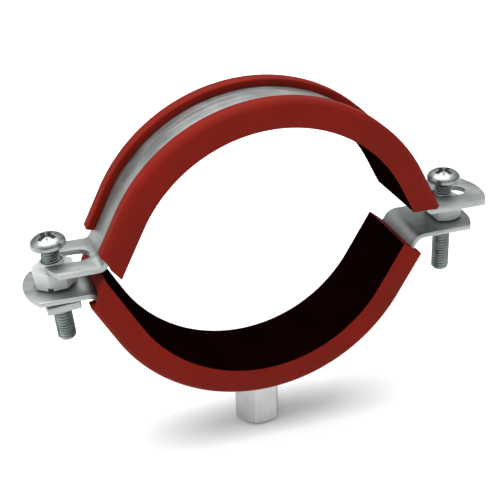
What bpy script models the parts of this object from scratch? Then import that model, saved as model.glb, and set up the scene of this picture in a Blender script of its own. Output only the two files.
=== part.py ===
"""Two-screw pipe clamp with a rubber lining and a hexagonal hanger boss.

The origin is the centre of the boss's mouth, +Z points up to the ring, +Y runs along the pipe,
and +X points to the side whose screw is threaded straight into the lower ear.
"""

import math

import bmesh
import bpy
from mathutils import Matrix, Vector

MM = 0.001

# Ring section, measured outwards from the face that touches the pipe.
LINING_WIDTH = 28.6 * MM
BASE_THICKNESS = 4.4 * MM
FIT_GAP = 0.3 * MM
STRIP_THICKNESS = 1.6 * MM
STRIP_WIDTH = 22.8 * MM
VISIBLE_STRIP_WIDTH = 17.0 * MM
FACE_HEIGHT = 7.2 * MM           # height of the lining's flat front and back faces
CREST_HEIGHT = 8.8 * MM          # height of its lips
LIP_ROUNDING = 1.4 * MM          # how far the rounded outer corner of a lip reaches along Y
LIP_STEPS = 3
LIP_CHAMFER = 0.7 * MM           # on the lip's edge beside the visible steel
STRIP_START = BASE_THICKNESS + FIT_GAP
STRIP_MIDDLE = STRIP_START + STRIP_THICKNESS / 2
STRAIGHT_ARC = math.radians(16)  # the last part of each half, which runs straight
BASE_LEAN = 0.55                 # share of the way from "inner" to "outer" where the base's back ends
ARC_STEPS = 56

# Ears
BEND_RADIUS = 4.0 * MM
BEND_STEPS = 5
TIP_RADIUS = 20.0 * MM
TIP_STEPS = 10
SLOT_WIDTH = 8.3 * MM
OPEN_SLOT_END = -52.4 * MM       # where the upper left ear's open slot stops, near the bend
HOLE_WIDTH = 7.0 * MM            # long hole of the upper right ear
HOLE_START = 64.6 * MM
HOLE_END = 76.8 * MM
SCREW_HOLE_RADIUS = 3.35 * MM

# Each half is one arc about its own centre. "leave" is the angle where the strip turns out of the
# lining into an ear, "inner" and "outer" are where the lining's pipe face and its lips end, and
# "ear" is the height of the ear's middle plane.
UPPER = {
    "centre": Vector((4.0 * MM, 62.1 * MM)),
    "bore": 47.2 * MM,
    "right": {"leave": 10.8, "inner": 14.0, "outer": 11.8, "tip": 82.0 * MM, "ear": 71.5 * MM},
    "left": {"leave": 168.4, "inner": 172.7, "outer": 165.6, "tip": -67.7 * MM, "ear": 71.6 * MM},
}
LOWER = {
    "centre": Vector((-0.3 * MM, 73.1 * MM)),
    "bore": 46.2 * MM,
    "right": {"leave": -15.6, "inner": -11.6, "outer": -15.4, "tip": 77.0 * MM, "ear": 63.3 * MM},
    "left": {"leave": -167.2, "inner": -175.5, "outer": -167.0, "tip": -74.3 * MM, "ear": 63.3 * MM},
}

# Screws: M6, dome head with a cross recess
THREAD_RADIUS = 3.0 * MM
NECK_RADIUS = 2.65 * MM
NECK_LENGTH = 5.0 * MM
SCREW_LENGTH = 32.8 * MM
HEAD_RADIUS = 5.6 * MM
HEAD_HEIGHT = 3.9 * MM
HEAD_RIM = 1.0 * MM
HEAD_EDGE = 0.3 * MM             # small chamfer under the head's rim
THREAD_TIP = 0.8 * MM            # chamfer at the thread's end
RECESS_DEPTH = 2.2 * MM
RECESS_LENGTH = 6.6 * MM
RECESS_WIDTH = 1.5 * MM
ROUND_STEPS = 32
RIGHT_SCREW_X = 68.6 * MM
RIGHT_HEAD_SEAT = 76.9 * MM
LEFT_SCREW_X = -63.8 * MM
LEFT_HEAD_SEAT = 14.1 * MM       # along the leaning screw, from the middle of the lower ear
LEFT_LEAN = math.radians(4.5)

# Retainers, nut plate and boss
RETAINER_RADIUS = 6.4 * MM
RETAINER_HOLE_RADIUS = 3.3 * MM
RIGHT_RETAINER_HEIGHT = 6.0 * MM
RETAINER_FLAT = 4.0 * MM         # the right retainer is cut flat at this distance, towards the ring
LEFT_RETAINER_HEIGHT = 5.4 * MM
COLLAR_RADIUS = 3.9 * MM
COLLAR_HEIGHT = 2.2 * MM
NOTCH_WIDTH = 1.8 * MM
NOTCH_HEIGHT = 1.2 * MM
NUT_PLATE_LENGTH = 10.5 * MM
NUT_PLATE_WIDTH = 21.0 * MM
NUT_PLATE_THICKNESS = 2.6 * MM
NUT_PLATE_EDGE = 0.25 * MM
LEAN_GAP = 0.8 * MM              # between the leaning pieces and the lower ear
LEAN_PLAY = 0.3 * MM             # extra room for the leaning screw in the lower ear's slot
SCREW_SHIFT = 2.0 * MM           # play of the leaning screw along its ear, away from the ring
BOSS_FLATS = 14.0 * MM
BOSS_HEIGHT = 20.3 * MM
BOSS_TURN = math.radians(-24.0)
BOSS_BORE_RADIUS = 4.0 * MM
BOSS_CHAMFER = 1.0 * MM
BOSS_CHAMFER_SLOPE = 0.6         # rise of the chamfer for each unit outwards
CORNER_BREAK = 0.2 * MM          # how far the chamfer starts outside the flats


def clear_scene():
    for item in list(bpy.data.objects):
        bpy.data.objects.remove(item, do_unlink=True)


def make_material(name, colour, roughness, metallic):
    material = bpy.data.materials.new(name)
    material.use_nodes = True
    shader = material.node_tree.nodes["Principled BSDF"]
    shader.inputs["Base Color"].default_value = (*colour, 1.0)
    shader.inputs["Roughness"].default_value = roughness
    shader.inputs["Metallic"].default_value = metallic
    return material


def add_object(name, mesh_data, material, smooth_angle=30):
    """Turn a bmesh into a named object with outward faces and sharp edges kept."""
    bmesh.ops.recalc_face_normals(mesh_data, faces=mesh_data.faces[:])
    mesh = bpy.data.meshes.new(name)
    mesh_data.to_mesh(mesh)
    mesh_data.free()
    mesh.shade_smooth()
    mesh.set_sharp_from_angle(angle=math.radians(smooth_angle))
    item = bpy.data.objects.new(name, mesh)
    bpy.context.collection.objects.link(item)
    if material:
        mesh.materials.append(material)
    return item


def add_cutter(name, mesh_data):
    cutter = add_object(name, mesh_data, None)
    cutter.hide_render = True
    cutter.display_type = "WIRE"
    return cutter


def cut(item, cutter, operation="DIFFERENCE"):
    modifier = item.modifiers.new(cutter.name, "BOOLEAN")
    modifier.operation = operation
    modifier.object = cutter
    modifier.solver = "EXACT"


def ring_point(half, angle, height):
    """A point of the half's section plane: an arc whose two ends run out straight."""
    middle = math.radians(90 if half is UPPER else -90)
    side = "right" if abs(angle) < math.radians(90) else "left"
    inside = abs(math.radians(half[side]["leave"]) - middle) - abs(angle - middle)
    past = max(STRAIGHT_ARC - inside, 0.0)
    radius = (half["bore"] + height) / math.cos(past)
    return half["centre"] + Vector((math.cos(angle), math.sin(angle))) * radius


def lining_profile():
    """The C section that wraps the strip: points of (height above the pipe face, place along Y)."""
    edge = LINING_WIDTH / 2
    channel = STRIP_WIDTH / 2 + FIT_GAP
    lip = VISIBLE_STRIP_WIDTH / 2
    channel_top = STRIP_START + STRIP_THICKNESS + FIT_GAP
    half_section = [(0.0, edge)]
    for i in range(LIP_STEPS + 1):
        turn = math.radians(90 * i / LIP_STEPS)
        rise = (CREST_HEIGHT - FACE_HEIGHT) * math.sin(turn)
        half_section.append((FACE_HEIGHT + rise, edge - LIP_ROUNDING * (1 - math.cos(turn))))
    half_section += [(CREST_HEIGHT, lip + LIP_CHAMFER), (CREST_HEIGHT - LIP_CHAMFER, lip)]
    half_section += [(channel_top, lip), (channel_top, channel), (BASE_THICKNESS, channel)]
    return half_section + [(height, -y) for height, y in reversed(half_section)]


def build_lining(name, half, material):
    mesh_data = bmesh.new()
    profile = lining_profile()
    loops = []
    for step in range(ARC_STEPS + 1):
        share = step / ARC_STEPS
        loop = []
        for height, y in profile:
            lean = BASE_LEAN * height / BASE_THICKNESS if height <= BASE_THICKNESS else 1.0
            ends = []
            for side in ("right", "left"):
                inner, outer = half[side]["inner"], half[side]["outer"]
                ends.append(math.radians(inner + (outer - inner) * lean))
            place = ring_point(half, ends[0] + (ends[1] - ends[0]) * share, height)
            loop.append(mesh_data.verts.new((place.x, y, place.y)))
        loops.append(loop)
    count = len(profile)
    for first, second in zip(loops, loops[1:]):
        for i in range(count):
            j = (i + 1) % count
            mesh_data.faces.new((first[i], first[j], second[j], second[i]))
    mesh_data.faces.new(loops[0])
    mesh_data.faces.new(loops[-1])
    return add_object(name, mesh_data, material)


def ear_path(half, side):
    """Centre line from the end of the strip's arc round the bend to where the flat ear starts."""
    ear = half[side]
    outward = 1 if side == "right" else -1
    leave = math.radians(ear["leave"])
    step = math.radians(0.2) * (1 if half is LOWER else -1) * outward
    start = ring_point(half, leave, STRIP_MIDDLE)
    before = ring_point(half, leave - step, STRIP_MIDDLE)
    heading = (start - before).normalized()
    along = Vector((outward, 0))
    anchor_x = LEFT_SCREW_X if side == "left" else RIGHT_SCREW_X
    anchor = Vector((anchor_x, ear["ear"]))
    turn = heading.angle(along)
    cross = heading.x * along.y - heading.y * along.x
    to_anchor = anchor - start
    reach = (to_anchor.x * along.y - to_anchor.y * along.x) / cross
    corner = start + heading * reach
    radius = min(BEND_RADIUS, 0.98 * reach / math.tan(turn / 2))
    tangent = radius * math.tan(turn / 2)
    spin = 1 if cross > 0 else -1
    pivot = corner - heading * tangent + Vector((-heading.y, heading.x)) * spin * radius
    points = []
    for i in range(BEND_STEPS + 1):
        angle = spin * turn * i / BEND_STEPS
        arm = corner - heading * tangent - pivot
        turned = Vector((arm.x * math.cos(angle) - arm.y * math.sin(angle),
                         arm.x * math.sin(angle) + arm.y * math.cos(angle)))
        points.append(pivot + turned)
    return points, along


def build_band(name, half, material):
    """Pressed strip: an arc with a flat ear bent out at each end, its tips rounded in plan."""
    right_bend, right_along = ear_path(half, "right")
    left_bend, left_along = ear_path(half, "left")
    first = math.radians(half["right"]["leave"])
    last = math.radians(half["left"]["leave"])
    arc = [ring_point(half, first + (last - first) * i / ARC_STEPS, STRIP_MIDDLE) for i in range(ARC_STEPS + 1)]
    path = list(reversed(right_bend)) + arc + left_bend
    mesh_data = bmesh.new()
    edge = STRIP_WIDTH / 2
    rows = []
    for i, point in enumerate(path):
        ahead = path[min(i + 1, len(path) - 1)] - path[max(i - 1, 0)]
        if i == 0:
            ahead = -right_along
        if i == len(path) - 1:
            ahead = left_along
        ahead.normalize()
        normal = Vector((-ahead.y, ahead.x)) * STRIP_THICKNESS / 2
        corners = [(point + normal, -edge), (point + normal, edge), (point - normal, edge), (point - normal, -edge)]
        rows.append([mesh_data.verts.new((p.x, y, p.y)) for p, y in corners])
    for one, two in zip(rows, rows[1:]):
        for i in range(4):
            j = (i + 1) % 4
            mesh_data.faces.new((one[i], one[j], two[j], two[i]))
    for row, side, along in ((rows[0], "right", right_along), (rows[-1], "left", left_along)):
        add_ear_tip(mesh_data, row, along, half[side]["tip"])
    return add_object(name, mesh_data, material)


def add_ear_tip(mesh_data, row, along, tip_x):
    """Flat ear from the last row of the bend to a tip that is a shallow arc in plan."""
    edge = STRIP_WIDTH / 2
    base = [vertex.co.copy() for vertex in row]
    sheets = []
    for front, back in ((0, 1), (3, 2)):
        outline = [row[front]]
        for i in range(TIP_STEPS + 1):
            y = -edge + 2 * edge * i / TIP_STEPS
            dip = TIP_RADIUS - math.sqrt(TIP_RADIUS ** 2 - y ** 2)
            length = abs(tip_x - base[front].x) - dip
            place = Vector((base[front].x + along.x * length, y, base[front].z + along.y * length))
            outline.append(mesh_data.verts.new(place))
        outline.append(row[back])
        sheets.append(outline)
        mesh_data.faces.new(outline)
    for i in range(len(sheets[0]) - 1):
        top, under = sheets
        mesh_data.faces.new((top[i], top[i + 1], under[i + 1], under[i]))


def slot_cutter(name, start_x, end_x, width, z):
    """Upright slot with round ends, through whatever it meets near the height z."""
    mesh_data = bmesh.new()
    radius = width / 2
    depth = 6 * MM
    outline = []
    steps = 14
    for centre, start in ((end_x - radius, -90), (start_x + radius, 90)):
        for i in range(steps + 1):
            angle = math.radians(start + 180 * i / steps)
            outline.append((centre + radius * math.cos(angle), radius * math.sin(angle)))
    lower = [mesh_data.verts.new((x, y, z - depth)) for x, y in outline]
    upper = [mesh_data.verts.new((x, y, z + depth)) for x, y in outline]
    mesh_data.faces.new(lower)
    mesh_data.faces.new(upper)
    for i in range(len(outline)):
        j = (i + 1) % len(outline)
        mesh_data.faces.new((lower[i], lower[j], upper[j], upper[i]))
    return add_cutter(name, mesh_data)


def turned(profile, steps=ROUND_STEPS, flats=None):
    """Solid of revolution about +Z from (radius, height) points; flats turns it into a prism."""
    mesh_data = bmesh.new()
    sides = flats or steps
    rings = []
    for radius, height in profile:
        if radius == 0:
            rings.append([mesh_data.verts.new((0, 0, height))])
            continue
        ring = []
        for i in range(sides):
            angle = 2 * math.pi * (i + (0.5 if flats else 0)) / sides
            ring.append(mesh_data.verts.new((radius * math.cos(angle), radius * math.sin(angle), height)))
        rings.append(ring)
    for lower, upper in zip(rings, rings[1:]):
        for i in range(sides):
            j = (i + 1) % sides
            corners = [lower[i % len(lower)], lower[j % len(lower)], upper[j % len(upper)], upper[i % len(upper)]]
            mesh_data.faces.new(list(dict.fromkeys(corners)))
    for ring in (rings[0], rings[-1]):
        if len(ring) > 2:
            mesh_data.faces.new(ring)
    return mesh_data


def build_screw(name, material, location, lean):
    """Screw with its head seat at z = 0 and its shank pointing down."""
    profile = [
        (0, -SCREW_LENGTH),
        (THREAD_RADIUS - THREAD_TIP, -SCREW_LENGTH),
        (THREAD_RADIUS, -SCREW_LENGTH + THREAD_TIP),
        (THREAD_RADIUS, -NECK_LENGTH),
        (NECK_RADIUS, -NECK_LENGTH + (THREAD_RADIUS - NECK_RADIUS)),
        (NECK_RADIUS, 0),
        (HEAD_RADIUS - HEAD_EDGE, 0),
        (HEAD_RADIUS, HEAD_EDGE),
        (HEAD_RADIUS, HEAD_RIM),
    ]
    dome = HEAD_HEIGHT - HEAD_RIM
    steps = 6
    for i in range(1, steps):
        angle = math.radians(90 * i / steps)
        profile.append((HEAD_RADIUS * math.cos(angle), HEAD_RIM + dome * math.sin(angle)))
    profile.append((0, HEAD_HEIGHT))
    screw = add_object(name, turned(profile), material)
    for i, (length, width) in enumerate(((RECESS_LENGTH, RECESS_WIDTH), (RECESS_WIDTH, RECESS_LENGTH))):
        block = bmesh.new()
        bmesh.ops.create_cube(block, size=1)
        bmesh.ops.scale(block, vec=(length, width, RECESS_DEPTH * 2), verts=block.verts)
        bmesh.ops.translate(block, vec=(0, 0, HEAD_HEIGHT), verts=block.verts)
        recess = add_cutter(f"{name}_recess_{i}", block)
        recess.parent = screw
        cut(screw, recess)
    screw.location = location
    screw.rotation_euler = (0, -lean, 0)
    return screw


def build_right_retainer(material, location):
    height = RIGHT_RETAINER_HEIGHT
    retainer = add_object("right_retainer", turned([(RETAINER_RADIUS, 0), (RETAINER_RADIUS, height)]), material)
    bore = add_cutter("right_retainer_bore", turned([(RETAINER_HOLE_RADIUS, -MM), (RETAINER_HOLE_RADIUS, height + MM)]))
    block = bmesh.new()
    bmesh.ops.create_cube(block, size=1)
    bmesh.ops.scale(block, vec=(RETAINER_RADIUS, 3 * RETAINER_RADIUS, 3 * height), verts=block.verts)
    bmesh.ops.translate(block, vec=(-RETAINER_FLAT - RETAINER_RADIUS / 2, 0, 0), verts=block.verts)
    flat = add_cutter("right_retainer_flat", block)
    for cutter in (bore, flat):
        cutter.parent = retainer
        cut(retainer, cutter)
    retainer.location = location


def build_left_retainer(material, location, lean):
    """Eight-sided block with a round collar that stands in the upper ear's open slot."""
    height = LEFT_RETAINER_HEIGHT
    corner = RETAINER_RADIUS / math.cos(math.pi / 8)
    retainer = add_object("left_retainer", turned([(corner, 0), (corner, height)], flats=8), material)
    collar_top = height + COLLAR_HEIGHT
    collar = add_cutter("left_collar", turned([(COLLAR_RADIUS, height - MM), (COLLAR_RADIUS, collar_top)]))
    bore_profile = [(RETAINER_HOLE_RADIUS, -MM), (RETAINER_HOLE_RADIUS, collar_top + MM)]
    bore = add_cutter("left_retainer_bore", turned(bore_profile))
    block = bmesh.new()
    bmesh.ops.create_cube(block, size=1)
    bmesh.ops.scale(block, vec=(4 * MM, NOTCH_WIDTH, NOTCH_HEIGHT * 2), verts=block.verts)
    bmesh.ops.translate(block, vec=(corner, 0, 0), verts=block.verts)
    bmesh.ops.rotate(block, matrix=Matrix.Rotation(math.radians(-112.5), 3, "Z"), verts=block.verts)
    notch = add_cutter("left_retainer_notch", block)
    for cutter, operation in ((collar, "UNION"), (bore, "DIFFERENCE"), (notch, "DIFFERENCE")):
        cutter.parent = retainer
        cut(retainer, cutter, operation)
    retainer.location = location
    retainer.rotation_euler = (0, -lean, 0)


def build_nut_plate(material, location, lean):
    block = bmesh.new()
    bmesh.ops.create_cube(block, size=1)
    bmesh.ops.scale(block, vec=(NUT_PLATE_LENGTH, NUT_PLATE_WIDTH, NUT_PLATE_THICKNESS), verts=block.verts)
    bmesh.ops.bevel(block, geom=block.edges[:], offset=NUT_PLATE_EDGE, segments=1, affect="EDGES")
    plate = add_object("left_nut_plate", block, material)
    bore = add_cutter("left_nut_bore", turned([(SCREW_HOLE_RADIUS, -3 * MM), (SCREW_HOLE_RADIUS, 3 * MM)]))
    bore.parent = plate
    cut(plate, bore)
    plate.location = location
    plate.rotation_euler = (0, -lean, 0)


def build_boss(material):
    corner = BOSS_FLATS / 2 / math.cos(math.pi / 6)
    boss = add_object("hanger_boss", turned([(corner, 0), (corner, BOSS_HEIGHT)], flats=6), material, 20)
    mouth = BOSS_FLATS / 2 + CORNER_BREAK - BOSS_CHAMFER
    outside = corner + MM
    cone_profile = [(mouth, -MM), (mouth, 0)]
    cone_profile += [(outside, (outside - mouth) * BOSS_CHAMFER_SLOPE), (outside, BOSS_HEIGHT + MM)]
    cone = add_cutter("boss_chamfer", turned(cone_profile, 48))
    bore = add_cutter("boss_bore", turned([(BOSS_BORE_RADIUS, -MM), (BOSS_BORE_RADIUS, BOSS_HEIGHT + MM)]))
    for cutter, operation in ((cone, "INTERSECT"), (bore, "DIFFERENCE")):
        cutter.parent = boss
        cut(boss, cutter, operation)
    boss.rotation_euler = (0, 0, BOSS_TURN)


def build_clamp():
    clear_scene()
    steel = make_material("zinc_plated_steel", (0.62, 0.64, 0.64), 0.32, 1.0)
    boss_steel = make_material("boss_steel", (0.60, 0.60, 0.61), 0.50, 1.0)
    red_rubber = make_material("red_rubber", (0.17, 0.013, 0.010), 0.55, 0.0)
    plastic = make_material("white_plastic", (0.74, 0.76, 0.74), 0.45, 0.0)

    build_lining("upper_lining", UPPER, red_rubber)
    build_lining("lower_lining", LOWER, red_rubber)
    upper = build_band("upper_band", UPPER, steel)
    lower = build_band("lower_band", LOWER, steel)

    cut(upper, slot_cutter("upper_right_hole", HOLE_START, HOLE_END, HOLE_WIDTH, UPPER["right"]["ear"]))
    open_end = UPPER["left"]["tip"] - SLOT_WIDTH
    cut(upper, slot_cutter("upper_left_slot", open_end, OPEN_SLOT_END, SLOT_WIDTH, UPPER["left"]["ear"]))

    right_z, left_z = LOWER["right"]["ear"], LOWER["left"]["ear"]
    round_hole = 2 * SCREW_HOLE_RADIUS
    right_edges = (RIGHT_SCREW_X - SCREW_HOLE_RADIUS, RIGHT_SCREW_X + SCREW_HOLE_RADIUS)
    cut(lower, slot_cutter("lower_right_hole", *right_edges, round_hole, right_z))
    reach = SCREW_HOLE_RADIUS + LEAN_PLAY
    left_edges = (LEFT_SCREW_X - reach - SCREW_SHIFT, LEFT_SCREW_X + reach)
    cut(lower, slot_cutter("lower_left_hole", *left_edges, round_hole + LEAN_PLAY, left_z))

    above_ear = STRIP_THICKNESS / 2 + FIT_GAP
    above_left = STRIP_THICKNESS / 2 + LEAN_GAP
    below_left = above_left + NUT_PLATE_THICKNESS / 2
    screw_up = Vector((-math.sin(LEFT_LEAN), 0, math.cos(LEFT_LEAN)))
    left_base = Vector((LEFT_SCREW_X, 0, left_z))
    build_right_retainer(plastic, (RIGHT_SCREW_X, 0, right_z + above_ear))
    build_left_retainer(plastic, left_base + screw_up * above_left, LEFT_LEAN)
    build_screw("right_screw", steel, (RIGHT_SCREW_X, 0, RIGHT_HEAD_SEAT), 0.0)
    build_screw("left_screw", steel, left_base + screw_up * LEFT_HEAD_SEAT, LEFT_LEAN)
    build_nut_plate(steel, left_base - screw_up * below_left, LEFT_LEAN)
    build_boss(boss_steel)


build_clamp()
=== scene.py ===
import math

import bmesh
import bpy
from mathutils import Matrix, Vector


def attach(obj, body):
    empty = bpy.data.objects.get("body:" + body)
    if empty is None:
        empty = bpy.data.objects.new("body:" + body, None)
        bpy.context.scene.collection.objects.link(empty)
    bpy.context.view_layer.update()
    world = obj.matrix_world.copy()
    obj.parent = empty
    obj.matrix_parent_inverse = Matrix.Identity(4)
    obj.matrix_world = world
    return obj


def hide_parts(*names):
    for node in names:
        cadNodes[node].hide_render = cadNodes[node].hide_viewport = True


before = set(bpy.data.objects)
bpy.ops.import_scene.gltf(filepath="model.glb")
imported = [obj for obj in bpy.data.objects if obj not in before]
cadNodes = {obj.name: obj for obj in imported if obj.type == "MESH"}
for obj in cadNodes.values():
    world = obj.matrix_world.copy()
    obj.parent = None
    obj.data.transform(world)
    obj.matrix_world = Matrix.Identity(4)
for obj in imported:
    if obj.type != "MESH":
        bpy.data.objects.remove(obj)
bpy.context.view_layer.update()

mm = 0.001


# small tools shared by the pieces below

def addNode(tree, kind, values=None, **settings):
    # one node, its settings, and what goes into its sockets: another socket or a plain value
    node = tree.nodes.new(kind)
    for name, value in settings.items():
        setattr(node, name, value)
    for key, value in (values or {}).items():
        socket = node.inputs[key]
        if isinstance(value, bpy.types.NodeSocket):
            tree.links.new(value, socket)
        else:
            socket.default_value = value
    return node


def mathNode(tree, operation, *values, clamp=False):
    node = addNode(tree, "ShaderNodeMath", dict(enumerate(values)), operation=operation, use_clamp=clamp)
    return node.outputs[0]


def splitPosition(tree):
    # the X, Y and Z of every point
    position = addNode(tree, "GeometryNodeInputPosition").outputs[0]
    spot = addNode(tree, "ShaderNodeSeparateXYZ", {0: position}).outputs
    return spot[0], spot[1], spot[2]


def startTree(name, inputs):
    # an empty modifier tree with a geometry input, the named inputs and a geometry output
    tree = bpy.data.node_groups.new(name, "GeometryNodeTree")
    tree.interface.new_socket("Geometry", in_out="INPUT", socket_type="NodeSocketGeometry")
    for label, kind in inputs.items():
        tree.interface.new_socket(label, in_out="INPUT", socket_type="NodeSocket" + kind)
    tree.interface.new_socket("Geometry", in_out="OUTPUT", socket_type="NodeSocketGeometry")
    given = tree.nodes.new("NodeGroupInput").outputs
    return tree, given


def endTree(tree, geometry):
    out = tree.nodes.new("NodeGroupOutput")
    tree.links.new(geometry, out.inputs[0])


def bakeTree(name, mesh, tree, values):
    # run the tree on the mesh and keep the result as a plain mesh
    holder = bpy.data.objects.new(name + "Source", mesh)
    bpy.context.collection.objects.link(holder)
    modifier = holder.modifiers.new(tree.name, "NODES")
    modifier.node_group = tree
    for item in tree.interface.items_tree:
        if item.in_out == "INPUT" and item.name in values:
            modifier[item.identifier] = values[item.name]
    graph = bpy.context.evaluated_depsgraph_get()
    baked = bpy.data.meshes.new_from_object(holder.evaluated_get(graph), depsgraph=graph)
    holder.modifiers.remove(modifier)
    bpy.data.objects.remove(holder)
    baked.name = name
    return baked


def cleanMesh(mesh, merge=2e-6, dissolve=None):
    # join doubles, drop slivers, turn every face outwards
    work = bmesh.new()
    work.from_mesh(mesh)
    bmesh.ops.remove_doubles(work, verts=work.verts, dist=merge)
    bmesh.ops.dissolve_degenerate(work, edges=work.edges, dist=merge / 2)
    if dissolve:
        bmesh.ops.dissolve_limit(work, angle_limit=math.radians(dissolve), verts=work.verts,
                                 edges=work.edges)
    bmesh.ops.recalc_face_normals(work, faces=work.faces)
    work.to_mesh(mesh)
    work.free()
    return mesh


def softenEdges(mesh, width, angle, segments=2, smooth=32):
    # bevel every sharp edge, so that it catches a little light, and keep the result as a plain mesh
    holder = bpy.data.objects.new("bevelSource", mesh)
    bpy.context.collection.objects.link(holder)
    bevel = holder.modifiers.new("edge", "BEVEL")
    bevel.width = width
    bevel.segments = segments
    bevel.limit_method = "ANGLE"
    bevel.angle_limit = math.radians(angle)
    bevel.use_clamp_overlap = True
    graph = bpy.context.evaluated_depsgraph_get()
    result = bpy.data.meshes.new_from_object(holder.evaluated_get(graph), depsgraph=graph)
    bpy.data.objects.remove(holder)
    result.shade_smooth()
    result.set_sharp_from_angle(angle=math.radians(smooth))
    return result


def carve(mesh, cutters, operation="DIFFERENCE"):
    # exact Booleans, one after another: each cutter is taken away, or only the part shared with it is kept
    holder = bpy.data.objects.new("carveSource", mesh)
    bpy.context.collection.objects.link(holder)
    tools = []
    for cutter in cutters:
        tool = bpy.data.objects.new("carveTool", cutter)
        bpy.context.collection.objects.link(tool)
        modifier = holder.modifiers.new("carve", "BOOLEAN")
        modifier.operation = operation
        modifier.solver = "EXACT"
        modifier.object = tool
        tools.append(tool)
    graph = bpy.context.evaluated_depsgraph_get()
    result = bpy.data.meshes.new_from_object(holder.evaluated_get(graph), depsgraph=graph)
    for item in tools + [holder]:
        bpy.data.objects.remove(item)
    return result


def addPiece(name, mesh, body, replaces=None, materials=None):
    mesh.name = name
    if materials is not None:
        mesh.materials.clear()
        for material in materials:
            mesh.materials.append(material)
    piece = bpy.data.objects.new(name, mesh)
    bpy.context.collection.objects.link(piece)
    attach(piece, body)
    if replaces:
        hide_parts(replaces)
    return piece


def copyNode(nodeName, dissolve=1.0):
    return cleanMesh(cadNodes[nodeName].data.copy(), merge=1e-6, dissolve=dissolve)


# materials

stripLook = {
    "light": (0.41, 0.43, 0.43, 1), "dark": (0.29, 0.32, 0.31, 1), "patch": 110, "grain": 900,
    "roughLow": 0.36, "roughHigh": 0.56, "bump": 0.12,
    "stretch": (0.04, 1, 0.04),   # streaks run along the strip
}
screwLook = {
    "light": (0.36, 0.39, 0.39, 1), "dark": (0.20, 0.22, 0.22, 1), "patch": 240, "grain": 1700,
    "roughLow": 0.25, "roughHigh": 0.40, "bump": 0.08,
    "stretch": (1, 1, 1),
}
bossLook = {
    "light": (0.62, 0.63, 0.64, 1), "dark": (0.50, 0.51, 0.52, 1), "patch": 160, "grain": 1900,
    "roughLow": 0.42, "roughHigh": 0.58, "bump": 0.16,
    "stretch": (1, 1, 0.06),   # drawn lines run up the bar
}
rubberLook = {
    "light": (0.180, 0.0088, 0.0036, 1), "dark": (0.138, 0.0067, 0.0028, 1), "cloud": 55, "grain": 2600,
    "roughLow": 0.60, "roughHigh": 0.76, "bump": 0.10, "specular": 0.08,
}
# painted shade: the pipe face gets a near-black red, partly the lining's own dark rubber and partly the deep
# shade inside the ring painted into the colour
pipeFacePaintedShadeLook = {
    "light": (0.0045, 0.0006, 0.0006, 1), "dark": (0.0022, 0.0003, 0.0003, 1), "cloud": 70, "grain": 1800,
    "roughLow": 0.55, "roughHigh": 0.75, "bump": 0.12, "specular": 0.0,
}
plasticLook = {
    "light": (0.53, 0.56, 0.56, 1), "dark": (0.44, 0.47, 0.47, 1), "cloud": 130, "grain": 2200,
    "roughLow": 0.36, "roughHigh": 0.50, "bump": 0.05, "specular": 0.5,
}
# shares of one noise against the other, the range of noise spread over the tones, and bump depth in metres
steelMix = {
    "patchDetail": 3.0, "grainDetail": 2.0, "patchShare": 0.6, "roughShare": 0.5,
    "toneFrom": 0.36, "toneTo": 0.62, "grainDepth": 0.00012,
}
mouldedMix = {
    "cloudDetail": 4.0, "grainDetail": 2.0, "cloudShare": 0.7,
    "toneFrom": 0.35, "toneTo": 0.65, "grainDepth": 0.00010,
}


def startMaterial(name):
    material = bpy.data.materials.new(name)
    material.use_nodes = True
    tree = material.node_tree
    shader = tree.nodes["Principled BSDF"]
    place = addNode(tree, "ShaderNodeTexCoord").outputs["Object"]
    return material, tree, shader, place


def noise(tree, place, scale, detail=4.0, roughness=0.55, stretch=(1, 1, 1)):
    if stretch != (1, 1, 1):
        place = addNode(tree, "ShaderNodeMapping", {"Vector": place, "Scale": stretch}).outputs[0]
    values = {"Vector": place, "Scale": scale, "Detail": detail, "Roughness": roughness}
    return addNode(tree, "ShaderNodeTexNoise", values).outputs[0]


def blendColour(tree, factor, first, second):
    mix = addNode(tree, "ShaderNodeMix", {0: factor}, data_type="RGBA")
    for socket, value in ((mix.inputs[6], first), (mix.inputs[7], second)):
        if isinstance(value, bpy.types.NodeSocket):
            tree.links.new(value, socket)
        else:
            socket.default_value = value
    return mix.outputs[2]


def spread(tree, value, low, high, fromLow=0.3, fromHigh=0.7):
    values = {"Value": value, "From Min": fromLow, "From Max": fromHigh, "To Min": low, "To Max": high}
    return addNode(tree, "ShaderNodeMapRange", values, clamp=True).outputs[0]


def weighed(tree, first, second, share):
    # two noises mixed, the first with the given share
    return mathNode(tree, "ADD", mathNode(tree, "MULTIPLY", first, share),
                    mathNode(tree, "MULTIPLY", second, 1 - share))


def linkShader(tree, shader, colour, rough, grain, strength, depth):
    tree.links.new(colour, shader.inputs["Base Color"])
    tree.links.new(rough, shader.inputs["Roughness"])
    bump = addNode(tree, "ShaderNodeBump", {"Height": grain, "Strength": strength, "Distance": depth})
    tree.links.new(bump.outputs[0], shader.inputs["Normal"])


def makeSteel(name, look):
    # patches of tone in the zinc over a fine grain
    m = steelMix
    material, tree, shader, place = startMaterial(name)
    patches = noise(tree, place, look["patch"], m["patchDetail"])
    grain = noise(tree, place, look["grain"], m["grainDetail"], stretch=look["stretch"])
    mixed = weighed(tree, patches, grain, m["patchShare"])
    tone = spread(tree, mixed, 0.0, 1.0, m["toneFrom"], m["toneTo"])
    colour = blendColour(tree, tone, look["dark"], look["light"])
    rough = spread(tree, weighed(tree, patches, grain, m["roughShare"]), look["roughLow"], look["roughHigh"])
    shader.inputs["Metallic"].default_value = 1.0
    linkShader(tree, shader, colour, rough, grain, look["bump"], m["grainDepth"])
    return material


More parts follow.
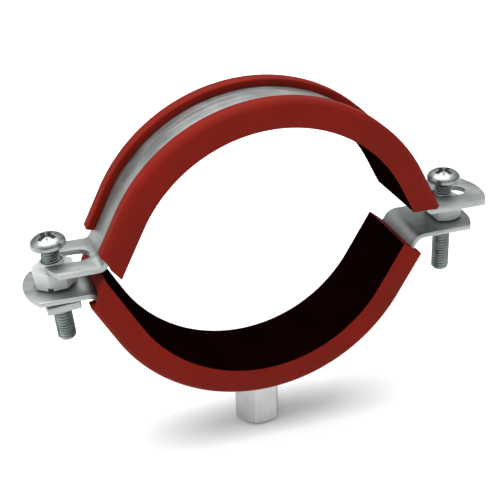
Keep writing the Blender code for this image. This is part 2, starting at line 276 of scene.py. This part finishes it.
def makeMoulded(name, look):
    # rubber and plastic: soft clouds of tone under a fine moulded grain
    m = mouldedMix
    material, tree, shader, place = startMaterial(name)
    clouds = noise(tree, place, look["cloud"], m["cloudDetail"])
    grain = noise(tree, place, look["grain"], m["grainDetail"])
    mixed = weighed(tree, clouds, grain, m["cloudShare"])
    tone = spread(tree, mixed, 0.0, 1.0, m["toneFrom"], m["toneTo"])
    colour = blendColour(tree, tone, look["dark"], look["light"])
    rough = spread(tree, clouds, look["roughLow"], look["roughHigh"])
    shader.inputs["Specular IOR Level"].default_value = look["specular"]
    linkShader(tree, shader, colour, rough, grain, look["bump"], m["grainDepth"])
    return material


stripSteel = makeSteel("rolledZincStrip", stripLook)
screwSteel = makeSteel("brightZincScrew", screwLook)
bossSteel = makeSteel("dullZincBoss", bossLook)
redRubber = makeMoulded("redRubber", rubberLook)
pipeFacePaintedShadeRubber = makeMoulded("paintedShadePipeFaceRubber", pipeFacePaintedShadeLook)
whitePlastic = makeMoulded("offWhitePlastic", plasticLook)
print("materials made")


# rubber linings: a straight C channel bent round its half of the ring

liningShape = {
    "base": 4.4, "faceHeight": 7.2, "crest": 8.8, "width": 28.6, "channel": 23.4, "opening": 17.0,
    "channelTop": 6.34, "outerRound": 1.4, "flatter": 0.65, "innerRound": 0.7, "roundSteps": 6,
    "arcSteps": 132, "backRim": 0.9, "backRise": 0.4, "straight": 16.0, "leanShare": 0.55,
    "edge": 0.25, "edgeAngle": 48, "edgeSteps": 2, "sharpAngle": 28,
}
liningHalves = {
    "upperLining": {
        "node": "upper_lining", "body": "upper_half",
        "Centre X": 4.0, "Centre Z": 62.1, "Bore": 47.2, "Up": 1.0,
        "Right Leave": 79.2, "Right Inner": 76.0, "Right Outer": 78.2,
        "Left Leave": 78.4, "Left Inner": 82.7, "Left Outer": 75.6,
    },
    "lowerLining": {
        "node": "lower_lining", "body": "lower_half",
        "Centre X": -0.3, "Centre Z": 73.1, "Bore": 46.2, "Up": -1.0,
        "Right Leave": 74.4, "Right Inner": 78.4, "Right Outer": 74.6,
        "Left Leave": 77.2, "Left Inner": 85.5, "Left Outer": 77.0,
    },
}


def channelProfile():
    # height above the pipe face and place across the width, once round the C section, in mm
    s = liningShape
    edge, opening, steps = s["width"] / 2, s["opening"] / 2, s["roundSteps"]
    side = [(s["base"], edge)]
    for i in range(steps + 1):
        turn, part = math.radians(90 * i / steps), i / steps
        up = s["flatter"] * part + (1 - s["flatter"]) * math.sin(turn)
        back = s["flatter"] * part + (1 - s["flatter"]) * (1 - math.cos(turn))
        side.append((s["faceHeight"] + (s["crest"] - s["faceHeight"]) * up, edge - s["outerRound"] * back))
    for i in range(steps + 1):
        turn = math.radians(90 * i / steps)
        side.append((s["crest"] - s["innerRound"] * (1 - math.cos(turn)),
                     opening + s["innerRound"] * (1 - math.sin(turn))))
    side += [(s["channelTop"], opening), (s["channelTop"], s["channel"] / 2), (s["base"], s["channel"] / 2)]
    # the far edge of the pipe face is worn to a slope, the near one is crisp
    front = [(height, -across) for height, across in reversed(side)]
    return [(0.0, edge - s["backRim"]), (s["backRise"], edge)] + side + front + [(0.0, -edge)]


def straightChannel():
    # share of the way along in X, width in Y, height in Z; the pipe face is marked for its own near-black
    # material, which paints the shade inside the ring over the lining's dark rubber
    profile = channelProfile()
    count, steps = len(profile), liningShape["arcSteps"]
    mesh = bpy.data.meshes.new("straightChannel")
    points = [(i / steps, across * mm, height * mm)
              for i in range(steps + 1) for height, across in profile]
    faces = []
    for i in range(steps):
        for k in range(count):
            j = (k + 1) % count
            faces.append((i * count + k, i * count + j, (i + 1) * count + j, (i + 1) * count + k))
    faces.append(tuple(range(count)))
    faces.append(tuple(range(steps * count, (steps + 1) * count)))
    mesh.from_pydata(points, [], faces)
    mark = mesh.attributes.new("pipeFace", "BOOLEAN", "FACE")
    for face in mesh.polygons:
        flat = len(face.vertices) == 4 and all(points[v][2] < 1e-7 for v in face.vertices)
        mark.data[face.index].value = flat
    return mesh


def bendTree():
    names = ["Centre X", "Centre Z", "Bore", "Up", "Right Leave", "Right Inner", "Right Outer",
             "Left Leave", "Left Inner", "Left Outer", "Straight", "Base", "Lean Share"]
    inputs = {name: "Float" for name in names}
    inputs["Rubber"] = inputs["Pipe Face"] = "Material"
    tree, given = startTree("bendChannel", inputs)
    share, across, height = splitPosition(tree)

    def degrees(value):
        return mathNode(tree, "RADIANS", value)

    def between(first, second, factor):
        return mathNode(tree, "MULTIPLY_ADD", mathNode(tree, "SUBTRACT", second, first), factor, first)

    # the cut ends lean back from the pipe face up to the base, and stand straight above it
    onBase = mathNode(tree, "LESS_THAN", height, mathNode(tree, "MULTIPLY", given["Base"], 1.001))
    upBase = mathNode(tree, "DIVIDE", height, given["Base"])
    leanBase = mathNode(tree, "MULTIPLY", upBase, given["Lean Share"])
    lean = between(1.0, leanBase, onBase)
    rightEnd = degrees(between(given["Right Inner"], given["Right Outer"], lean))
    leftEnd = degrees(between(given["Left Inner"], given["Left Outer"], lean))
    angle = between(rightEnd, mathNode(tree, "MULTIPLY", leftEnd, -1.0), share)

    # past the last stretch of arc each end runs out straight
    isRight = mathNode(tree, "GREATER_THAN", angle, 0.0)
    leave = degrees(between(given["Left Leave"], given["Right Leave"], isRight))
    inside = mathNode(tree, "SUBTRACT", leave, mathNode(tree, "ABSOLUTE", angle))
    past = mathNode(tree, "MAXIMUM", mathNode(tree, "SUBTRACT", degrees(given["Straight"]), inside), 0.0)
    outwards = mathNode(tree, "ADD", given["Bore"], height)
    radius = mathNode(tree, "DIVIDE", outwards, mathNode(tree, "COSINE", past))

    x = mathNode(tree, "MULTIPLY_ADD", radius, mathNode(tree, "SINE", angle), given["Centre X"])
    rise = mathNode(tree, "MULTIPLY", radius, mathNode(tree, "COSINE", angle))
    z = mathNode(tree, "ADD", mathNode(tree, "MULTIPLY", rise, given["Up"]), given["Centre Z"])
    bent = addNode(tree, "ShaderNodeCombineXYZ", {0: x, 1: across, 2: z}).outputs[0]
    placed = addNode(tree, "GeometryNodeSetPosition", {"Geometry": given["Geometry"], "Position": bent})
    solid = addNode(tree, "GeometryNodeRealizeInstances", {0: placed.outputs[0]}).outputs[0]
    red = addNode(tree, "GeometryNodeSetMaterial", {"Geometry": solid, "Material": given["Rubber"]})
    # the pipe face gets the near-black material: the lining's dark rubber with painted shade
    pipeFace = addNode(tree, "GeometryNodeInputNamedAttribute", {"Name": "pipeFace"}, data_type="BOOLEAN")
    dark = addNode(tree, "GeometryNodeSetMaterial", {
        "Geometry": red.outputs[0], "Selection": pipeFace.outputs[0], "Material": given["Pipe Face"]})
    endTree(tree, dark.outputs[0])
    return tree


channelBend = bendTree()
for pieceName, half in liningHalves.items():
    values = {"Up": half["Up"], "Straight": liningShape["straight"], "Lean Share": liningShape["leanShare"],
              "Base": liningShape["base"] * mm, "Rubber": redRubber, "Pipe Face": pipeFacePaintedShadeRubber}
    for key in ("Centre X", "Centre Z", "Bore"):
        values[key] = half[key] * mm
    for key in ("Right Leave", "Right Inner", "Right Outer", "Left Leave", "Left Inner", "Left Outer"):
        values[key] = half[key]
    bent = cleanMesh(bakeTree(pieceName, straightChannel(), channelBend, values))
    soft = softenEdges(bent, liningShape["edge"] * mm, liningShape["edgeAngle"],
                       liningShape["edgeSteps"], liningShape["sharpAngle"])
    addPiece(pieceName, soft, half["body"], half["node"])
print("linings bent")


# steel strips, nut plate and plastic retainers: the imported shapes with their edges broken

# node, body, slot, material and the width of the broken edge in mm
brokenEdges = {
    "upperBand": ("upper_band", "upper_half", "zinc_steel", stripSteel, 0.35),
    "lowerBand": ("lower_band", "lower_half", "zinc_steel", stripSteel, 0.35),
    "leftNutPlate": ("left_nut_plate", "left_nut_plate", "zinc_steel", stripSteel, 0.25),
    "leftRetainer": ("left_retainer", "left_retainer", "white_plastic", whitePlastic, 0.40),
    "rightRetainer": ("right_retainer", "right_retainer", "white_plastic", whitePlastic, 0.50),
}
edgeRule = {"edgeAngle": 33, "edgeSteps": 3, "sharpAngle": 30}
for pieceName, (nodeName, body, slotName, material, edge) in brokenEdges.items():
    soft = softenEdges(copyNode(nodeName), edge * mm, edgeRule["edgeAngle"],
                       edgeRule["edgeSteps"], edgeRule["sharpAngle"])
    addPiece(pieceName, soft, body, nodeName, [material])
print("strips and retainers softened")


# threads: one strip of thread section wound round and round, joined to itself

# where the root starts and how much the flank takes up, as shares of half a pitch from the crest's middle,
# and the joining distance in metres
threadSection = {"rootStart": 0.78, "flank": 0.62, "join": 2e-6}


def threadTree():
    inputs = {name: "Float" for name in ("Length", "Above", "Pitch", "Root", "Crest", "Tip")}
    inputs.update({"Turn Steps": "Int", "Section Steps": "Int", "Finish": "Material"})
    tree, given = startTree("windThread", inputs)
    whole = mathNode(tree, "ADD", given["Length"], given["Above"])
    wholeTurns = mathNode(tree, "CEIL", mathNode(tree, "DIVIDE", whole, given["Pitch"]))
    turns = mathNode(tree, "ADD", wholeTurns, 2.0)   # two to spare, so that both ends are covered
    columns = mathNode(tree, "ADD", mathNode(tree, "MULTIPLY", turns, given["Turn Steps"]), 1.0)
    rows = mathNode(tree, "ADD", given["Section Steps"], 1.0)
    grid = addNode(tree, "GeometryNodeMeshGrid", {
        "Size X": 1.0, "Size Y": 1.0, "Vertices X": columns, "Vertices Y": rows})
    along, across = splitPosition(tree)[:2]
    turn = mathNode(tree, "MULTIPLY", mathNode(tree, "ADD", along, 0.5), turns)
    section = mathNode(tree, "ADD", across, 0.5)
    angle = mathNode(tree, "MULTIPLY", turn, 2 * math.pi)
    turnsUp = mathNode(tree, "SUBTRACT", mathNode(tree, "ADD", turn, section), 1.0)
    wound = mathNode(tree, "MULTIPLY", turnsUp, given["Pitch"])
    z = mathNode(tree, "SUBTRACT", wound, given["Length"])

    # flat crest, two flanks, flat root
    offMiddle = mathNode(tree, "ABSOLUTE", mathNode(tree, "SUBTRACT", section, 0.5))
    fromCrest = mathNode(tree, "MULTIPLY", offMiddle, 2.0)
    aboveRoot = mathNode(tree, "SUBTRACT", threadSection["rootStart"], fromCrest)
    flank = mathNode(tree, "DIVIDE", aboveRoot, threadSection["flank"], clamp=True)
    depth = mathNode(tree, "SUBTRACT", given["Crest"], given["Root"])
    radius = mathNode(tree, "MULTIPLY_ADD", depth, flank, given["Root"])
    # the tip is chamfered at 45 degrees
    past = mathNode(tree, "ADD", z, given["Length"])
    cone = mathNode(tree, "ADD", mathNode(tree, "SUBTRACT", given["Crest"], given["Tip"]), past)
    radius = mathNode(tree, "MINIMUM", radius, cone)

    # whatever winds on past either end is gathered to a point on the axis there, which closes the rod
    low = mathNode(tree, "MULTIPLY", given["Length"], -1.0)
    within = mathNode(tree, "MULTIPLY", mathNode(tree, "GREATER_THAN", z, low),
                      mathNode(tree, "LESS_THAN", z, given["Above"]))
    radius = mathNode(tree, "MULTIPLY", radius, within)
    z = mathNode(tree, "MINIMUM", mathNode(tree, "MAXIMUM", z, low), given["Above"])
    place = addNode(tree, "ShaderNodeCombineXYZ", {
        0: mathNode(tree, "MULTIPLY", radius, mathNode(tree, "COSINE", angle)),
        1: mathNode(tree, "MULTIPLY", radius, mathNode(tree, "SINE", angle)), 2: z}).outputs[0]
    rod = addNode(tree, "GeometryNodeSetPosition", {"Geometry": grid.outputs[0], "Position": place})
    closed = addNode(tree, "GeometryNodeMergeByDistance", {
        "Geometry": rod.outputs[0], "Distance": threadSection["join"]})
    solid = addNode(tree, "GeometryNodeRealizeInstances", {0: closed.outputs[0]}).outputs[0]
    finished = addNode(tree, "GeometryNodeSetMaterial", {"Geometry": solid, "Material": given["Finish"]})
    endTree(tree, finished.outputs[0])
    return tree


threadWinder = threadTree()


def threadedRod(name, size, finish):
    values = {"Length": size["length"] * mm, "Above": size["above"] * mm, "Pitch": size["pitch"] * mm,
              "Root": size["root"] * mm, "Crest": size["crest"] * mm, "Tip": size["tip"] * mm,
              "Turn Steps": size["turnSteps"], "Section Steps": size["sectionSteps"], "Finish": finish}
    seed = bpy.data.meshes.new(name + "Seed")
    seed.from_pydata([(0, 0, 0)], [], [])
    return cleanMesh(bakeTree(name, seed, threadWinder, values))


# screws: turned dome head, cross recess with four small ticks, threaded shank

screwShape = {
    "headRadius": 5.6, "headHeight": 3.9, "rim": 1.0, "underEdge": 0.3, "domeSteps": 14, "roundSteps": 72,
    "edge": 0.12, "edgeAngle": 30, "edgeSteps": 2, "sharpAngle": 34, "cutAbove": 0.6,
    "recessDepth": 2.6, "recessReach": 3.9, "recessWidth": 1.7, "recessTaper": 0.7,
    "coreRadius": 1.9, "coreTaper": 0.55, "corePoint": 0.5, "coreSteps": 24,
    "tickInner": 2.5, "tickOuter": 4.3, "tickWidth": 0.34, "tickDepth": 0.25,
}
shankThread = {"length": 32.8, "above": 0.3, "pitch": 1.0, "root": 2.32, "crest": 2.98, "tip": 0.8,
               "turnSteps": 36, "sectionSteps": 8}


def lathe(profile, steps):
    # closed solid of revolution about Z from points of radius and height, in mm
    work = bmesh.new()
    rings = []
    for radius, height in profile:
        if radius == 0:
            rings.append([work.verts.new((0, 0, height * mm))])
            continue
        rings.append([work.verts.new((radius * mm * math.cos(2 * math.pi * i / steps),
                                      radius * mm * math.sin(2 * math.pi * i / steps), height * mm))
                      for i in range(steps)])
    for lower, upper in zip(rings, rings[1:]):
        for i in range(steps):
            j = (i + 1) % steps
            corners = [lower[i % len(lower)], lower[j % len(lower)],
                       upper[j % len(upper)], upper[i % len(upper)]]
            work.faces.new(list(dict.fromkeys(corners)))
    bmesh.ops.recalc_face_normals(work, faces=work.faces)
    mesh = bpy.data.meshes.new("turned")
    work.to_mesh(mesh)
    work.free()
    return mesh


def taperedBlock(length, width, depth, taper, top, turn=0.0, shift=0.0):
    # block that narrows downwards from a little above the given height
    mesh = bpy.data.meshes.new("block")
    points = []
    for z, scale in ((top - depth, taper), (top + screwShape["cutAbove"], 1.0)):
        for x, y in ((-1, -1), (1, -1), (1, 1), (-1, 1)):
            points.append(Vector((shift + x * length * scale, y * width * (0.5 + 0.5 * scale), z)) * mm)
    turned = [Matrix.Rotation(turn, 3, "Z") @ point for point in points]
    sides = [(0, 1, 5, 4), (1, 2, 6, 5), (2, 3, 7, 6), (3, 0, 4, 7)]
    mesh.from_pydata(turned, [], [(3, 2, 1, 0), (4, 5, 6, 7)] + sides)
    return mesh


def screwHead():
    s = screwShape
    dome = s["headHeight"] - s["rim"]
    wide, top = s["headRadius"], s["headHeight"]
    profile = [(0, 0), (wide - s["underEdge"], 0), (wide, s["underEdge"]), (wide, s["rim"])]
    for i in range(1, s["domeSteps"]):
        turn = math.radians(90 * i / s["domeSteps"])
        profile.append((wide * math.cos(turn), s["rim"] + dome * math.sin(turn)))
    profile.append((0, top))
    head = lathe(profile, s["roundSteps"])

    # the cross is two crossed blocks and a pointed core
    deep, half = s["recessDepth"], s["recessWidth"] / 2
    cutters = [taperedBlock(s["recessReach"], half, deep, s["recessTaper"], top, math.radians(turn))
               for turn in (0, 90)]
    core, above = s["coreRadius"], top + s["cutAbove"]
    cutters.append(lathe([(0, top - deep - s["corePoint"]), (core * s["coreTaper"], top - deep),
                          (core, above), (0, above)], s["coreSteps"]))

    # each tick is cut down from the dome's height at its middle
    reach = (s["tickOuter"] - s["tickInner"]) / 2
    middle = (s["tickOuter"] + s["tickInner"]) / 2
    onDome = s["rim"] + dome * math.sqrt(1 - (middle / wide) ** 2)
    for turn in (45, 135, 225, 315):
        cutters.append(taperedBlock(reach, s["tickWidth"] / 2, s["tickDepth"], 1.0, onDome,
                                    math.radians(turn), middle))
    return carve(head, cutters)


def placeMesh(mesh, move):
    mesh.transform(move)
    return mesh


def joinMeshes(name, meshes):
    work = bmesh.new()
    for mesh in meshes:
        work.from_mesh(mesh)
    joined = bpy.data.meshes.new(name)
    work.to_mesh(joined)
    work.free()
    joined.shade_smooth()
    joined.set_sharp_from_angle(angle=math.radians(screwShape["sharpAngle"]))
    return joined


leftLean = 4.5   # degrees outwards
leftAxis = Vector((-math.sin(math.radians(leftLean)), 0, math.cos(math.radians(leftLean))))
leftSeat = Vector((-63.8, 0, 63.3)) * mm + leftAxis * 14.1 * mm   # a point on the axis, then up along it
# node, body, the underside of the head, lean and turn of the cross in degrees
screwPlaces = {
    "rightScrew": ("right_screw", "right_screw", Vector((68.6, 0, 76.9)) * mm, 0.0, 18.0),
    "leftScrew": ("left_screw", "left_screw", leftSeat, leftLean, 40.0),
}
headMesh = softenEdges(cleanMesh(screwHead(), merge=1e-6), screwShape["edge"] * mm, screwShape["edgeAngle"],
                       screwShape["edgeSteps"], screwShape["sharpAngle"])
for pieceName, (nodeName, body, seat, leanAngle, recessTurn) in screwPlaces.items():
    head = placeMesh(headMesh.copy(), Matrix.Rotation(math.radians(recessTurn), 4, "Z"))
    shank = threadedRod(pieceName + "Shank", shankThread, screwSteel)
    screw = joinMeshes(pieceName, [head, shank])
    placeMesh(screw, Matrix.Translation(seat) @ Matrix.Rotation(math.radians(-leanAngle), 4, "Y"))
    addPiece(pieceName, screw, body, nodeName, [screwSteel])
print("screws turned and threaded")


# hanger boss: hexagonal bar with turned ends, tapped for an M8 rod, and its weld

bossShape = {
    "flats": 14.0, "height": 20.3, "turn": -24.0, "sharpAngle": 25,
    "chamferReach": 0.8, "chamferSlope": 0.6, "topBreak": 0.2, "topCone": 0.6, "coneSteps": 96,
    "sinkOuter": 5.2, "sinkMouth": 4.2, "sinkInner": 3.4, "sinkDepth": 0.8, "sinkSteps": 64,
    "threadTop": 19.2,
}
bossThread = {"length": 24.0, "above": 4.0, "pitch": 1.25, "root": 3.42, "crest": 4.0, "tip": 0.6,
              "turnSteps": 36, "sectionSteps": 8}
weldBead = {
    "ring": 7.75, "thick": 0.55, "flatness": 0.8, "level": 20.15, "roundSteps": 138, "ringSteps": 10,
    "ripples": 46, "wobble": 0.06, "slowRipples": 5, "slowStart": 0.7,
}


def hexBoss():
    b = bossShape
    corner, top = b["flats"] / 2 / math.cos(math.pi / 6), b["height"]
    hexagon = lathe([(0, 0), (corner, 0), (corner, top), (0, top)], 6)
    placeMesh(hexagon, Matrix.Rotation(math.radians(30), 4, "Z"))   # flats square to X

    # a turned shape round it takes the corners off at both ends
    mouth, wide = b["flats"] / 2 - b["chamferReach"], corner + 1.0
    reach = (wide - mouth) * b["chamferSlope"]
    cone = lathe([(0, -1), (mouth, -1), (mouth, 0), (wide, reach), (wide, top - b["topBreak"]),
                  (0, top + b["topCone"])], b["coneSteps"])
    shaped = carve(hexagon, [cone], "INTERSECT")

    # the bore is cut with a threaded rod and a countersink
    countersink = lathe([(0, -1), (b["sinkOuter"], -1), (b["sinkMouth"], 0.0),
                         (b["sinkInner"], b["sinkDepth"]), (0, b["sinkDepth"])], b["sinkSteps"])
    rod = threadedRod("bossTap", bossThread, bossSteel)
    placeMesh(rod, Matrix.Translation((0, 0, b["threadTop"] * mm)))
    tapped = carve(shaped, [rod, countersink])
    return cleanMesh(tapped, merge=1e-6)


def beadRing():
    w = weldBead
    work = bmesh.new()
    rings = []
    for i in range(w["roundSteps"]):
        around = 2 * math.pi * i / w["roundSteps"]
        swell = (1 + w["wobble"] * 2 * math.sin(w["ripples"] * around)
                 + w["wobble"] * math.sin(w["slowRipples"] * around + w["slowStart"]))
        ring = []
        for k in range(w["ringSteps"]):
            turn = 2 * math.pi * k / w["ringSteps"]
            out = w["ring"] + w["thick"] * swell * math.cos(turn)
            up = w["level"] + w["thick"] * w["flatness"] * swell * math.sin(turn)
            ring.append(work.verts.new((out * mm * math.cos(around), out * mm * math.sin(around), up * mm)))
        rings.append(ring)
    for i, ring in enumerate(rings):
        after = rings[(i + 1) % len(rings)]
        for k in range(w["ringSteps"]):
            j = (k + 1) % w["ringSteps"]
            work.faces.new((ring[k], ring[j], after[j], after[k]))
    bmesh.ops.recalc_face_normals(work, faces=work.faces)
    mesh = bpy.data.meshes.new("bead")
    work.to_mesh(mesh)
    work.free()
    mesh.shade_smooth()
    return mesh


boss = hexBoss()
boss.shade_smooth()
boss.set_sharp_from_angle(angle=math.radians(bossShape["sharpAngle"]))
placeMesh(boss, Matrix.Rotation(math.radians(bossShape["turn"]), 4, "Z"))
addPiece("hangerBoss", boss, "lower_half", "hanger_boss", [bossSteel])
addPiece("bossWeld", beadRing(), "lower_half", None, [bossSteel])
print("boss tapped and welded")


# floor, light and camera

studio = {
    "floorLevel": -0.4, "floorReach": 14.0, "floorColour": (0.90, 0.90, 0.90, 1), "floorDarker": 0.985,
    "floorPatch": 30.0, "floorRough": 0.9,
    "skyLow": (0.22, 0.22, 0.22, 1), "skyHigh": (1.35, 1.35, 1.35, 1), "skyFrom": 0.15, "skyTo": 1.0,
    "middle": (0.0, 0.0, 0.065),
    "topPower": 14.5, "topSize": 1.4, "topPlace": (-0.10, 0.05, 1.05),
    "sidePower": 1.6, "sideSize": 0.8, "sidePlace": (-0.75, 0.10, 0.35),
}
view = {
    "lens": 81.331, "sensor": 36.0, "near": 0.01,
    "place": (-0.10011, -0.31389, 0.22698), "turn": (63.5979, 1.8983, -18.5382),
}


def buildFloor():
    reach, level = studio["floorReach"], studio["floorLevel"] * mm
    mesh = bpy.data.meshes.new("floor")
    corners = [(x * reach, y * reach, level) for x, y in ((-1, -1), (1, -1), (1, 1), (-1, 1))]
    mesh.from_pydata(corners, [], [(0, 1, 2, 3)])
    material, tree, shader, place = startMaterial("paleFloor")
    tint = spread(tree, noise(tree, place, studio["floorPatch"], 3.0), 0.0, 1.0)
    darker = tuple(c * studio["floorDarker"] for c in studio["floorColour"][:3]) + (1,)
    tree.links.new(blendColour(tree, tint, darker, studio["floorColour"]), shader.inputs["Base Color"])
    shader.inputs["Roughness"].default_value = studio["floorRough"]
    shader.inputs["Specular IOR Level"].default_value = 0.0
    mesh.materials.append(material)
    floor = bpy.data.objects.new("floor", mesh)
    bpy.context.collection.objects.link(floor)


def buildSky():
    world = bpy.data.worlds.new("studio")
    bpy.context.scene.world = world
    world.use_nodes = True
    tree = world.node_tree
    tree.nodes.clear()
    place = addNode(tree, "ShaderNodeTexCoord").outputs["Generated"]
    up = addNode(tree, "ShaderNodeSeparateXYZ", {0: place}).outputs[2]
    factor = spread(tree, up, 0.0, 1.0, studio["skyFrom"], studio["skyTo"])
    colour = blendColour(tree, factor, studio["skyLow"], studio["skyHigh"])
    back = addNode(tree, "ShaderNodeBackground", {"Color": colour, "Strength": 1.0})
    out = addNode(tree, "ShaderNodeOutputWorld")
    tree.links.new(back.outputs[0], out.inputs[0])


def addLamp(name, power, size, place, target):
    light = bpy.data.lights.new(name, "AREA")
    light.energy = power
    light.shape = "DISK"
    light.size = size
    lamp = bpy.data.objects.new(name, light)
    lamp.location = place
    lamp.rotation_euler = (Vector(target) - Vector(place)).to_track_quat("-Z", "Y").to_euler()
    bpy.context.collection.objects.link(lamp)
    return lamp


def buildCamera():
    data = bpy.data.cameras.new("camera")
    data.lens = view["lens"]
    data.sensor_width = view["sensor"]
    data.clip_start = view["near"]
    camera = bpy.data.objects.new("camera", data)
    camera.location = view["place"]
    camera.rotation_euler = [math.radians(a) for a in view["turn"]]
    bpy.context.collection.objects.link(camera)
    bpy.context.scene.camera = camera


buildFloor()
buildSky()
addLamp("topLight", studio["topPower"], studio["topSize"], studio["topPlace"], studio["middle"])
addLamp("sideLight", studio["sidePower"], studio["sideSize"], studio["sidePlace"], studio["middle"])
buildCamera()
bpy.context.scene.view_settings.view_transform = "Standard"
print("studio ready")
